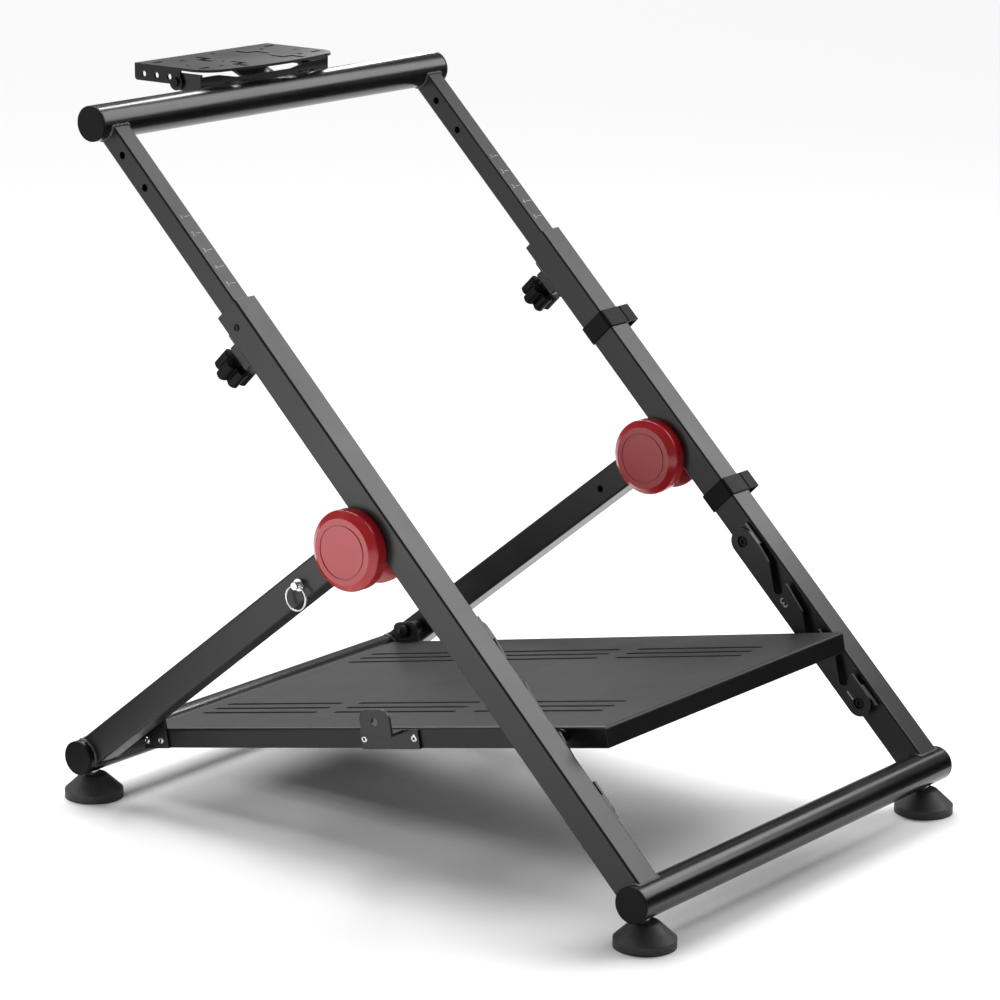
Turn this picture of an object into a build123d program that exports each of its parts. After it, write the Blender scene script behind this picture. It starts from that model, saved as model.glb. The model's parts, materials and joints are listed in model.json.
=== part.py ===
"""Folding stand for a racing wheel and its pedals.

Two square main legs lean back from a round front bar.  Inner tubes telescope out of them and
carry a round top bar with the tilting wheel plate.  Two rear legs hinge on round red hubs behind
the main legs.  The pedal plate swings on bolts in the rear legs and drops into notched strips.

Millimetres, +Z up, +Y the way the driver looks, origin on the floor under the middle of the box.
Along a main leg "s" runs up from the front bar and "n" stands off its front face.
"""
from build123d import *
import os
from math import asin, atan2, cos, degrees, radians, sin, sqrt, tan

os.makedirs("parts", exist_ok=True)

# Round bars
BAR_DIAMETER = 38.0
BAR_WALL = 2.0
BAR_LENGTH = 580.0
BAR_AXIS_HEIGHT = 49.0
BAR_SPACING = 738.0
CAP_THICKNESS = 3.0
CAP_EDGE = 0.8
CAP_PLUG_LENGTH = 14.0

# Square tubes
LEG_END_INSET = 26.0
LEG_WIDTH = 33.0
LEG_WALL = 2.0
LEG_CORNER = 2.5
MAIN_LEG_ANGLE = 44.8
MAIN_LEG_LENGTH = 743.0
INNER_WIDTH = 24.0
INNER_WALL = 2.0
INNER_CORNER = 2.0
INNER_OVERLAP = 143.0
TOP_BAR_ALONG = 991.5
INNER_HOLES_ALONG = (903.5, 947.0)
INNER_HOLE_DIAMETER = 8.0
BUSH_LENGTH = 28.0
REAR_LEG_OVER_HUB = 5.5
REAR_LEG_PAST_HUB = 12.0

# Red hinge hubs behind the main legs
HUB_ALONG = 464.0
HUB_BEHIND = 40.0
HUB_RADIUS = 42.5
HUB_COVER_THICKNESS = 19.0
HUB_BACK_THICKNESS = 12.0
HUB_FACE_RADIUS = 34.8
HUB_BEVEL = 6.0
HUB_ROUND = 3.0
HUB_GROOVE_RADIUS = 28.0
HUB_GROOVE_WIDTH = 1.6
HUB_GROOVE_DEPTH = 0.8
HUB_PIN_DIAMETER = 10.0
HUB_PIN_BITE = 8.0

# Levelling feet
FOOT_RADIUS = 32.0
FOOT_RIM_HEIGHT = 9.0
FOOT_TOP_RADIUS = 13.5
FOOT_HEIGHT = 26.5
FOOT_EDGE = 1.5
STUD_DIAMETER = 10.0
STUD_BITE = 18.0
STUD_ABOVE_WALL = 9.0

# Clamping knobs under the main legs
KNOB_BELOW_MOUTH = 44.0
SEAT_LENGTH = 50.0
SEAT_WIDTH = 26.0
SEAT_THICKNESS = 3.0
NUT_LENGTH = 30.0
NUT_WIDTH = 20.0
NUT_HEIGHT = 10.0
KNOB_GAP = 0.5
KNOB_NECK_RADIUS = 9.0
KNOB_NECK_LENGTH = 6.0
KNOB_LOBES = 6
KNOB_LOBE_RADIUS = 6.5
KNOB_RADIUS = 20.0
KNOB_THICKNESS = 22.0
KNOB_EDGE = 2.0
KNOB_SCREW_DIAMETER = 8.0
KNOB_SCREW_TIP_GAP = 0.3
KNOB_SCREW_WALL_HOLE = 9.0

# Notched strips on the inner faces of the main legs
STRIP_STAND_OFF = 6.5
STRIP_THICKNESS = 3.0
STRIP_WIDTH = 30.0
STRIP_CENTRE_BEHIND = 3.0
STRIP_BOLTS_ALONG = (97.0, 318.0)
STRIP_HOLE_DIAMETER = 13.0
STRIP_BOSS_RADIUS = 9.0
STRIP_TAB_LENGTH = 28.0
STRIP_TAB_THICKNESS = 3.0
NOTCHES_ALONG = (127.0, 189.0, 251.0)
NOTCH_IN_USE = 1
NOTCH_BOTTOM_BEHIND = 2.0
NOTCH_RADIUS = 5.5
NOTCH_LEAN = 15.0
NOTCH_DEPTH = 40.0
TOOTH_SLOPE_LENGTH = 46.0
TOOTH_SLOPE_DROP = 5.5
TOOTH_TIP = 2.0

# Cable clips on the left main leg
CLIPS_ALONG = (378.0, 615.5)
CLIP_LENGTH = 21.5
CLIP_WALL = 2.2
CLIP_LUG_WALL = 2.5
CLIP_LUG_MOUTH = 9.0

# Pull pin with its ring on the right rear leg
PULL_PIN_BELOW_HUB = 86.7
PULL_PIN_DIAMETER = 8.0
PULL_PIN_PAST_LEG = 3.0
PULL_HEAD_RADIUS = 6.5
PULL_HEAD_THICKNESS = 3.0
PULL_EYE_LENGTH = 7.0
RING_RADIUS = 13.0
RING_WIRE_RADIUS = 1.2
RING_WIRE_SIDES = 8
RING_EYE_RADIUS = 2.4

# Pedal plate, in its own slope: "t" runs forward along it and "n" stands off its top
PEDAL_SIDE_GAP = 27.5
PEDAL_SHEET = 2.0
PEDAL_FLANGE = 22.0
PEDAL_BEND = 3.5
PIN_FROM_FRONT = 55.0
PIN_BELOW_TOP = 9.0
PIN_DIAMETER = 6.0
PIN_END_TO_LEG = 5.0
PIN_COLLAR_RADIUS = 7.0
PIN_COLLAR_LENGTH = 3.0
SLOT_ROWS_X = (106.0, 127.0, 148.0)
SLOT_WIDTH = 7.0
SLOT_GROUPS = 3
SLOT_GAP = 24.0
SLOT_FRONT_MARGIN = 56.0
SLOT_REAR_MARGIN = 22.5

# Pivot bolts in the rear legs, and the lugs riveted to the pedal plate that turn on them
PIVOT_ALONG = 63.0
PIVOT_ABOVE_TOP = 12.0
PIVOT_FROM_REAR = 17.0
PIVOT_BOLT_DIAMETER = 8.0
PIVOT_HEAD_RADIUS = 7.5
PIVOT_HEAD_THICKNESS = 4.0
PIVOT_SPACER_RADIUS = 8.0
PIVOT_BITE = 12.0
LUG_SHEET = 3.0
LUG_LENGTH = 35.0
LUG_RISE = 22.5
LUG_CORNER = 9.0

# Ear on the right of the pedal plate that takes the pull pin when folded
EAR_BASE_LENGTH = 78.0
EAR_BASE_BEHIND = 38.0
EAR_WIDTH = 40.0
EAR_RISE = 24.0
EAR_LEDGE_BELOW = 2.0
EAR_BASE_BELOW = 22.5
EAR_HOLE_HEIGHT = 11.0
EAR_HOLE_DIAMETER = 8.4
EAR_TO_LEG = 6.0
EAR_CORNER = 11.0

# Wheel plate and its bracket, measured from the top bar's axis
WHEEL_HALF_WIDTH = 110.5
WHEEL_TOP_ABOVE = 37.0
WHEEL_SHEET = 3.0
WHEEL_REAR = 101.5
WHEEL_FRONT = 14.0
WHEEL_FRONT_BOW = 8.0
WHEEL_CORNER = 26.0
WHEEL_FLANGE_END = 36.0
WHEEL_FLANGE_DROP = 18.5
WHEEL_FLANGE_CORNER = 4.0
WHEEL_FLANGE_HOLES_BEHIND = (88.5, 70.0, 51.5)
WHEEL_FLANGE_HOLE_BELOW = 11.0
WHEEL_HOLE_DIAMETER = 6.6
WHEEL_BOLT_X = 66.0
WHEEL_BOLTS_BEHIND = (72.0, 16.0)
WHEEL_SLOT_LENGTH = 16.0
WHEEL_SLOT_X = 93.0
WHEEL_SLOTS_BEHIND = (84.0, 16.0)
WHEEL_CENTRE_HOLE_BEHIND = 86.0
WHEEL_SMALL_HOLES = ((90.0, 43.0), (39.0, 37.5))
WHEEL_SMALL_DIAMETER = 5.0
ZIGZAG_X = 40.0
ZIGZAGS_BEHIND = (64.0, 12.0)
ZIGZAG_RUN = 15.0
ZIGZAG_STEP = 14.0
BRACKET_SHEET = 3.0
BRACKET_SIDE_GAP = 0.5
BRACKET_WALL_BEHIND = 9.0
BRACKET_TOP_ABOVE = 31.0
BRACKET_EAR_BOTTOM = 12.0
BRACKET_LOW_ABOVE = 23.0
BRACKET_LOW_HALF = 45.0
BRACKET_HIGH_ABOVE = 28.0
BRACKET_HIGH_HALF = 75.0
TONGUE_WIDTH = 52.0
TONGUE_SLOPE = 23.0
TONGUE_LENGTH = 26.0
TONGUE_ROOT_ABOVE = 14.0
TILT_BEHIND = 42.0
TILT_ABOVE = 21.0
TILT_BOLT_DIAMETER = 6.0
TILT_EYE_RADIUS = 9.0
TILT_HEAD_RADIUS = 5.0
TILT_HEAD_THICKNESS = 3.0
TILT_BOLT_TAIL = 6.0
TILT_SLOT_RADIUS = 24.5
TILT_SLOT_SWEEP = 24.0
TILT_SLOT_WIDTH = 6.6

# Clearances
RUNNING = 0.05
SLIDING = 0.15
SEATED = 0.3

# Places that follow from the sizes above
BAR_RADIUS = BAR_DIAMETER / 2
LEG_HALF = LEG_WIDTH / 2
LEG_CENTRE_X = BAR_LENGTH / 2 - LEG_END_INSET
LEG_INNER_X = LEG_CENTRE_X - LEG_HALF
KNOB_ALONG = MAIN_LEG_LENGTH - KNOB_BELOW_MOUTH
INNER_BOTTOM = MAIN_LEG_LENGTH - INNER_OVERLAP
CLIP_LUG_REACH = HUB_COVER_THICKNESS - CLIP_WALL
TOP_REACH = TOP_BAR_ALONG * cos(radians(MAIN_LEG_ANGLE))
FRONT_BAR_Y = (TOP_REACH + WHEEL_REAR - FOOT_RADIUS) / 2
REAR_BAR_Y = FRONT_BAR_Y - BAR_SPACING
LEG_DIR = Vector(0, -cos(radians(MAIN_LEG_ANGLE)), sin(radians(MAIN_LEG_ANGLE)))
LEG_NORMAL = Vector(0, sin(radians(MAIN_LEG_ANGLE)), cos(radians(MAIN_LEG_ANGLE)))
SIDES = (("right", 1), ("left", -1))


def leg_point(x: float, s: float, n: float = 0.0) -> Vector:
    """Point at x, s along a main leg and n off its axis."""
    return Vector(x, FRONT_BAR_Y, BAR_AXIS_HEIGHT) + LEG_DIR * s + LEG_NORMAL * n


def slope(start: Vector, end: Vector) -> float:
    """Angle in degrees at which a line climbs forward from one point to another."""
    return degrees(atan2(end.Z - start.Z, end.Y - start.Y))


FRONT_BAR = leg_point(0, 0)
HUB = leg_point(0, HUB_ALONG, -HUB_BEHIND)
REAR_BAR = Vector(0, REAR_BAR_Y, BAR_AXIS_HEIGHT)
TOP_BAR = leg_point(0, TOP_BAR_ALONG)
STRIP_INNER_X = LEG_INNER_X - STRIP_STAND_OFF - STRIP_THICKNESS

# Rear legs: they pass a little over the hubs' axis
HUB_REACH = (HUB - REAR_BAR).length
REAR_LEG_ANGLE = slope(REAR_BAR, HUB) + degrees(asin(REAR_LEG_OVER_HUB / HUB_REACH))
REAR_DIR = Vector(0, cos(radians(REAR_LEG_ANGLE)), sin(radians(REAR_LEG_ANGLE)))
REAR_LEG_LENGTH = (HUB - REAR_BAR).dot(REAR_DIR) + REAR_LEG_PAST_HUB
PULL_PIN_ALONG = (HUB - REAR_BAR).dot(REAR_DIR) - PULL_PIN_BELOW_HUB
PULL_PIN = REAR_BAR + REAR_DIR * PULL_PIN_ALONG
PIVOT = REAR_BAR + REAR_DIR * PIVOT_ALONG

# Pedal plate: hung between its pivot bolts and the notch in use
PIN_ALONG = NOTCHES_ALONG[NOTCH_IN_USE]
PIN_RADIUS = PIN_DIAMETER / 2
PIN_POINT = leg_point(0, PIN_ALONG, -NOTCH_BOTTOM_BEHIND) - Vector(0, 0, NOTCH_RADIUS - PIN_RADIUS - SEATED)
PIVOT_TO_PIN = (PIN_POINT - PIVOT).length
PIVOT_OVER_PIN = PIVOT_ABOVE_TOP + PIN_BELOW_TOP
PEDAL_ANGLE = slope(PIVOT, PIN_POINT) + degrees(asin(PIVOT_OVER_PIN / PIVOT_TO_PIN))
PEDAL_DIR = Vector(0, cos(radians(PEDAL_ANGLE)), sin(radians(PEDAL_ANGLE)))
PEDAL_NORMAL = Vector(0, -sin(radians(PEDAL_ANGLE)), cos(radians(PEDAL_ANGLE)))
PEDAL_FRONT = PIN_POINT + PEDAL_DIR * PIN_FROM_FRONT + PEDAL_NORMAL * PIN_BELOW_TOP
PEDAL_SIDE = LEG_INNER_X - PEDAL_SIDE_GAP
PEDAL_WIDTH = 2 * PEDAL_SIDE
PIVOT_T = -PIN_FROM_FRONT - sqrt(PIVOT_TO_PIN ** 2 - PIVOT_OVER_PIN ** 2)
PEDAL_LENGTH = PIVOT_FROM_REAR - PIVOT_T
SLOTS_RUN = PEDAL_LENGTH - SLOT_FRONT_MARGIN - SLOT_REAR_MARGIN
SLOT_LENGTH = (SLOTS_RUN - (SLOT_GROUPS - 1) * SLOT_GAP) / SLOT_GROUPS
EAR_REACH = PULL_PIN_ALONG - PIVOT_ALONG
EAR_T = PIVOT_T + sqrt(EAR_REACH ** 2 - (PIVOT_ABOVE_TOP - EAR_HOLE_HEIGHT) ** 2)
FOLD_LIFT = REAR_LEG_ANGLE - PEDAL_ANGLE + degrees(asin((PIVOT_ABOVE_TOP - EAR_HOLE_HEIGHT) / EAR_REACH))


def leg_section(x: float, s: float = 0.0) -> Plane:
    """Plane square to a main leg: local x is X, local y is n, local z runs up the leg."""
    return Plane(origin=leg_point(x, s), x_dir=(1, 0, 0), z_dir=LEG_DIR)


def leg_side(x: float) -> Plane:
    """Plane along a main leg's side: local x is s, local y is n, its normal is -X."""
    return Plane(origin=leg_point(x, 0), x_dir=LEG_DIR, z_dir=(-1, 0, 0))


def under_leg(x: float, s: float, behind: float) -> Plane:
    """Plane behind a main leg that faces away from its rear face."""
    return Plane(origin=leg_point(x, s, -behind), x_dir=(1, 0, 0), z_dir=-LEG_NORMAL)


def upright_side(x: float, y: float, z: float) -> Plane:
    """Plane facing +X: local x is Y and local y is Z."""
    return Plane(origin=(x, y, z), x_dir=(0, 1, 0), z_dir=(1, 0, 0))


def pedal_side(x: float) -> Plane:
    """Plane facing +X: local x is t and local y is n."""
    return Plane(origin=(x, PEDAL_FRONT.Y, PEDAL_FRONT.Z), x_dir=PEDAL_DIR, z_dir=(1, 0, 0))


PEDAL_TOP = Plane(origin=PEDAL_FRONT, x_dir=(1, 0, 0), z_dir=PEDAL_NORMAL)


def finish(piece: BuildPart, name: str) -> None:
    """Label a finished piece and write it."""
    piece.part.label = name
    export_step(piece.part, f"parts/{name}.step")


def along_x(x: float, centre: Vector) -> Plane:
    """Plane facing +X through a point given by its Y and Z."""
    return upright_side(x, centre.Y, centre.Z)


def cut_rod(centre: Vector, radius: float, length: float) -> Part:
    """Rod along X about a point, used as a tool for holes and copes."""
    with BuildPart() as rod:
        with BuildSketch(along_x(-length / 2, centre)):
            Circle(radius)
        extrude(amount=length)
    return rod.part


def round_bar(name: str, centre: Vector, footed: bool) -> None:
    """Round tube across the stand, with holes for the feet's studs in the two low bars."""
    tube_length = BAR_LENGTH - 2 * CAP_THICKNESS
    with BuildPart() as bar:
        with BuildSketch(along_x(-tube_length / 2, centre)):
            Circle(BAR_RADIUS)
            Circle(BAR_RADIUS - BAR_WALL, mode=Mode.SUBTRACT)
        extrude(amount=tube_length)
        if footed:
            with Locations((-LEG_CENTRE_X, centre.Y, centre.Z), (LEG_CENTRE_X, centre.Y, centre.Z)):
                Cylinder(STUD_DIAMETER / 2 + RUNNING, BAR_DIAMETER,
                         align=(Align.CENTER, Align.CENTER, Align.MAX), mode=Mode.SUBTRACT)
    finish(bar, name)


def bar_caps(name: str, centre: Vector) -> None:
    """Pair of plastic end plugs of a round bar."""
    with BuildPart() as caps:
        for _, side in SIDES:
            seat_x = side * (BAR_LENGTH / 2 - CAP_THICKNESS)
            with BuildSketch(along_x(seat_x, centre)):
                Circle(BAR_RADIUS)
            extrude(amount=side * CAP_THICKNESS)
            with BuildSketch(along_x(seat_x, centre)):
                Circle(BAR_RADIUS - BAR_WALL - RUNNING)
            extrude(amount=-side * CAP_PLUG_LENGTH)
        rims = caps.edges().filter_by(GeomType.CIRCLE).group_by(Axis.X)
        chamfer(rims[0] + rims[-1], CAP_EDGE)
    finish(caps, name)


def square_tube(plane: Plane, width: float, wall: float, corner: float, length: float) -> Part:
    """Square tube with rounded corners, run up from a plane."""
    with BuildPart() as tube:
        with BuildSketch(plane):
            RectangleRounded(width, width, corner)
            RectangleRounded(width - 2 * wall, width - 2 * wall, max(corner - wall, wall / 4),
                             mode=Mode.SUBTRACT)
        extrude(amount=length)
    return tube.part


def main_leg(name: str, x: float) -> None:
    """Outer tube of a main leg, coped to the front bar, with the clamp screw's hole behind."""
    with BuildPart() as leg:
        add(square_tube(leg_section(x), LEG_WIDTH, LEG_WALL, LEG_CORNER, MAIN_LEG_LENGTH))
        add(cut_rod(leg_point(0, 0), BAR_RADIUS, BAR_LENGTH), mode=Mode.SUBTRACT)
        with BuildSketch(under_leg(x, KNOB_ALONG, 0)):
            Circle(KNOB_SCREW_WALL_HOLE / 2)
        extrude(amount=LEG_WIDTH, mode=Mode.SUBTRACT)
    finish(leg, name)


def guide_bushes(name: str) -> None:
    """Plastic sleeves in the mouths of the main legs that guide the inner tubes."""
    with BuildPart() as bushes:
        for _, side in SIDES:
            bore = INNER_WIDTH + 2 * SLIDING
            body = LEG_WIDTH - 2 * LEG_WALL - 2 * RUNNING
            with BuildSketch(leg_section(side * LEG_CENTRE_X, MAIN_LEG_LENGTH - BUSH_LENGTH)):
                RectangleRounded(body, body, LEG_CORNER - LEG_WALL + RUNNING)
                RectangleRounded(bore, bore, INNER_CORNER, mode=Mode.SUBTRACT)
            extrude(amount=BUSH_LENGTH)
    finish(bushes, name)


def inner_tube(name: str, x: float) -> None:
    """Inner tube that telescopes out of a main leg and is welded under the top bar."""
    with BuildPart() as tube:
        add(square_tube(leg_section(x, INNER_BOTTOM), INNER_WIDTH, INNER_WALL, INNER_CORNER,
                        TOP_BAR_ALONG - INNER_BOTTOM))
        add(cut_rod(TOP_BAR, BAR_RADIUS, BAR_LENGTH), mode=Mode.SUBTRACT)
        with BuildSketch(leg_side(x + INNER_WIDTH)):
            with Locations(*[(s, 0) for s in INNER_HOLES_ALONG]):
                Circle(INNER_HOLE_DIAMETER / 2)
        extrude(amount=2 * INNER_WIDTH, mode=Mode.SUBTRACT)
    finish(tube, name)


def hub_cover(name: str, face_x: float, out: int, thickness: float) -> None:
    """Round moulded cover seated on a leg's side, bevelled, with a groove round its face."""
    with BuildPart() as cover:
        section = Plane(origin=(face_x, HUB.Y, HUB.Z), x_dir=(0, 1, 0), z_dir=(0, 0, -out))
        with BuildSketch(section) as profile:
            with BuildLine():
                Polyline((0, 0), (HUB_RADIUS, 0), (HUB_RADIUS, thickness - HUB_BEVEL),
                         (HUB_FACE_RADIUS, thickness), (0, thickness), close=True)
            make_face()
            fillet(profile.vertices().sort_by_distance((HUB_RADIUS, thickness - HUB_BEVEL))[0], HUB_ROUND)
        revolve(axis=Axis((face_x, HUB.Y, HUB.Z), (1, 0, 0)))
        with BuildSketch(along_x(face_x + out * thickness, HUB)):
            Circle(HUB_GROOVE_RADIUS + HUB_GROOVE_WIDTH / 2)
            Circle(HUB_GROOVE_RADIUS - HUB_GROOVE_WIDTH / 2, mode=Mode.SUBTRACT)
        extrude(amount=-out * HUB_GROOVE_DEPTH, mode=Mode.SUBTRACT)
        with BuildSketch(along_x(face_x, HUB)):
            Circle(HUB_PIN_DIAMETER / 2 + RUNNING)
        extrude(amount=out * HUB_PIN_BITE, mode=Mode.SUBTRACT)
    finish(cover, name)


def hub_pins(name: str) -> None:
    """Pivot pins that cross each hub from cover to cover."""
    length = LEG_WIDTH + 2 * HUB_PIN_BITE
    with BuildPart() as pins:
        for _, side in SIDES:
            with BuildSketch(along_x(side * LEG_CENTRE_X - length / 2, HUB)):
                Circle(HUB_PIN_DIAMETER / 2)
            extrude(amount=length)
    finish(pins, name)


def foot(name: str, x: float, y: float) -> None:
    """Levelling foot: a low rim under a cone, bored for its stud."""
    with BuildPart() as pad:
        with BuildSketch(Plane(origin=(x, y, 0), x_dir=(1, 0, 0), z_dir=(0, -1, 0))):
            with BuildLine():
                Polyline((0, 0), (FOOT_RADIUS, 0), (FOOT_RADIUS, FOOT_RIM_HEIGHT),
                         (FOOT_TOP_RADIUS, FOOT_HEIGHT), (0, FOOT_HEIGHT), close=True)
            make_face()
        revolve(axis=Axis((x, y, 0), (0, 0, 1)))
        chamfer(pad.edges().filter_by(GeomType.CIRCLE).group_by(Axis.Z)[-1], FOOT_EDGE)
        with Locations((x, y, FOOT_HEIGHT)):
            Cylinder(STUD_DIAMETER / 2 + RUNNING, STUD_BITE,
                     align=(Align.CENTER, Align.CENTER, Align.MAX), mode=Mode.SUBTRACT)
    finish(pad, name)


def foot_studs(name: str, y: float) -> None:
    """Steel studs that join two feet to their bar."""
    bottom = FOOT_HEIGHT - STUD_BITE
    top = BAR_AXIS_HEIGHT - BAR_RADIUS + BAR_WALL + STUD_ABOVE_WALL
    with BuildPart() as studs:
        with Locations((-LEG_CENTRE_X, y, bottom), (LEG_CENTRE_X, y, bottom)):
            Cylinder(STUD_DIAMETER / 2, top - bottom, align=(Align.CENTER, Align.CENTER, Align.MIN))
    finish(studs, name)


def knob_seats(name: str) -> None:
    """Welded seat plates with threaded blocks behind the main legs."""
    with BuildPart() as seats:
        for _, side in SIDES:
            x = side * LEG_CENTRE_X
            with BuildSketch(under_leg(x, KNOB_ALONG, LEG_HALF)):
                RectangleRounded(SEAT_WIDTH, SEAT_LENGTH, LEG_CORNER)
            extrude(amount=SEAT_THICKNESS)
            with BuildSketch(under_leg(x, KNOB_ALONG, LEG_HALF + SEAT_THICKNESS)):
                RectangleRounded(NUT_WIDTH, NUT_LENGTH, LEG_CORNER)
            extrude(amount=NUT_HEIGHT)
            with BuildSketch(under_leg(x, KNOB_ALONG, LEG_HALF)):
                Circle(KNOB_SCREW_DIAMETER / 2 + RUNNING)
            extrude(amount=SEAT_THICKNESS + NUT_HEIGHT, mode=Mode.SUBTRACT)
    finish(seats, name)


def star_knob(name: str, x: float) -> None:
    """Lobed hand knob on the screw that clamps an inner tube."""
    neck_at = LEG_HALF + SEAT_THICKNESS + NUT_HEIGHT + KNOB_GAP
    body_at = neck_at + KNOB_NECK_LENGTH
    tip_at = INNER_WIDTH / 2 + KNOB_SCREW_TIP_GAP
    with BuildPart() as knob:
        with BuildSketch(under_leg(x, KNOB_ALONG, body_at)):
            Circle(KNOB_RADIUS - KNOB_LOBE_RADIUS)
            with PolarLocations(KNOB_RADIUS - KNOB_LOBE_RADIUS, KNOB_LOBES):
                Circle(KNOB_LOBE_RADIUS)
        extrude(amount=KNOB_THICKNESS)
        end_face = knob.faces().sort_by(Axis(leg_point(x, KNOB_ALONG), -LEG_NORMAL))[-1]
        chamfer(end_face.edges(), KNOB_EDGE)
        with BuildSketch(under_leg(x, KNOB_ALONG, neck_at)):
            Circle(KNOB_NECK_RADIUS)
        extrude(amount=KNOB_NECK_LENGTH)
        with BuildSketch(under_leg(x, KNOB_ALONG, tip_at)):
            Circle(KNOB_SCREW_DIAMETER / 2)
        extrude(amount=neck_at - tip_at)
    finish(knob, name)


def notch_strip(name: str, side: int) -> None:
    """Strip that stands off a leg's inner face, with three upright notches in its front edge."""
    inner_x = side * STRIP_INNER_X
    front = STRIP_WIDTH / 2 - STRIP_CENTRE_BEHIND
    low, high = STRIP_BOLTS_ALONG
    slopes = [s + NOTCH_RADIUS for s in NOTCHES_ALONG[1:]] + [high - STRIP_TAB_LENGTH / 2]
    with BuildPart() as strip:
        with BuildSketch(leg_side(inner_x)) as outline:
            with Locations(((low + high) / 2, -STRIP_CENTRE_BEHIND)):
                SlotCenterToCenter(high - low, STRIP_WIDTH)
            for top in slopes:
                Polygon((top, front), (top - TOOTH_SLOPE_LENGTH, front - TOOTH_SLOPE_DROP),
                        (top - TOOTH_SLOPE_LENGTH, front + TOOTH_SLOPE_DROP), align=None, mode=Mode.SUBTRACT)
            for s in NOTCHES_ALONG:
                with Locations(Location((s, -NOTCH_BOTTOM_BEHIND), 90 - MAIN_LEG_ANGLE)):
                    notch_mouth()
            for s in NOTCHES_ALONG:
                fillet(outline.vertices().sort_by_distance((s, front))[0], TOOTH_TIP)
            with Locations(*[(s, -STRIP_CENTRE_BEHIND) for s in STRIP_BOLTS_ALONG]):
                Circle(STRIP_HOLE_DIAMETER / 2, mode=Mode.SUBTRACT)
        extrude(amount=-side * STRIP_THICKNESS)
        with BuildSketch(leg_side(inner_x + side * STRIP_THICKNESS)):
            with Locations(*[(s, -STRIP_CENTRE_BEHIND) for s in STRIP_BOLTS_ALONG]):
                Circle(STRIP_BOSS_RADIUS)
            with Locations(*[(s, front - STRIP_TAB_THICKNESS / 2) for s in STRIP_BOLTS_ALONG]):
                Rectangle(STRIP_TAB_LENGTH, STRIP_TAB_THICKNESS)
        extrude(amount=-side * STRIP_STAND_OFF)
    finish(strip, name)


def notch_mouth() -> None:
    """Cut one notch, local x upright: a round bottom between walls that lean apart."""
    spread = NOTCH_RADIUS + NOTCH_DEPTH * tan(radians(NOTCH_LEAN))
    Circle(NOTCH_RADIUS, mode=Mode.SUBTRACT)
    Polygon((0, NOTCH_RADIUS), (NOTCH_DEPTH, spread), (NOTCH_DEPTH, -spread), (0, -NOTCH_RADIUS),
            align=None, mode=Mode.SUBTRACT)


def cable_clip(name: str, s: float) -> None:
    """Band round the left main leg with an open hook for cables on its outer side."""
    x = -LEG_CENTRE_X
    outside = LEG_WIDTH + 2 * CLIP_WALL
    with BuildPart() as clip:
        with BuildSketch(leg_section(x, s - CLIP_LENGTH / 2)):
            RectangleRounded(outside, outside, LEG_CORNER + CLIP_WALL)
            with Locations((-(outside / 2 + (CLIP_LUG_REACH - CLIP_LUG_WALL) / 2), 0)):
                RectangleRounded(CLIP_LUG_REACH + CLIP_LUG_WALL, outside, LEG_CORNER)
                Rectangle(CLIP_LUG_REACH - CLIP_LUG_WALL, outside - 2 * CLIP_LUG_WALL, mode=Mode.SUBTRACT)
            with Locations((-(outside / 2 + CLIP_LUG_REACH / 2), -outside / 2)):
                Rectangle(CLIP_LUG_MOUTH, LEG_WIDTH / 2, mode=Mode.SUBTRACT)
            RectangleRounded(LEG_WIDTH, LEG_WIDTH, LEG_CORNER, mode=Mode.SUBTRACT)
        extrude(amount=CLIP_LENGTH)
    finish(clip, name)


def rear_leg(name: str, side: int) -> None:
    """Rear leg, coped to the rear bar, bored for the hub's pin, the pull pin and a pivot bolt."""
    x = side * LEG_CENTRE_X
    start = Plane(origin=REAR_BAR + Vector(x, 0, 0), x_dir=(1, 0, 0), z_dir=REAR_DIR)
    with BuildPart() as leg:
        add(square_tube(start, LEG_WIDTH, LEG_WALL, LEG_CORNER, REAR_LEG_LENGTH))
        add(cut_rod(REAR_BAR, BAR_RADIUS, BAR_LENGTH), mode=Mode.SUBTRACT)
        add(cut_rod(HUB, HUB_PIN_DIAMETER / 2 + RUNNING, BAR_LENGTH), mode=Mode.SUBTRACT)
        add(cut_rod(PULL_PIN, PULL_PIN_DIAMETER / 2 + RUNNING, BAR_LENGTH), mode=Mode.SUBTRACT)
        with BuildSketch(along_x(side * LEG_INNER_X, PIVOT)):
            Circle(PIVOT_BOLT_DIAMETER / 2 + RUNNING)
        extrude(amount=side * PIVOT_BITE, mode=Mode.SUBTRACT)
    finish(leg, name)


def pull_pin(name: str) -> None:
    """Pin through the right rear leg with a flat head and an eye for its ring."""
    outer = LEG_CENTRE_X + LEG_HALF
    with BuildPart() as pin:
        with BuildSketch(along_x(LEG_INNER_X - PULL_PIN_PAST_LEG, PULL_PIN)):
            Circle(PULL_PIN_DIAMETER / 2)
        extrude(amount=PULL_PIN_PAST_LEG + LEG_WIDTH + PULL_HEAD_THICKNESS + PULL_EYE_LENGTH)
        with BuildSketch(along_x(outer, PULL_PIN)):
            Circle(PULL_HEAD_RADIUS)
        extrude(amount=PULL_HEAD_THICKNESS)
        eye_x = outer + PULL_HEAD_THICKNESS + PULL_EYE_LENGTH / 2
        with Locations((eye_x, PULL_PIN.Y, PULL_PIN.Z)):
            Cylinder(RING_EYE_RADIUS, 2 * PULL_PIN_DIAMETER, rotation=(90, 0, 0), mode=Mode.SUBTRACT)
    finish(pin, name)


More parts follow.
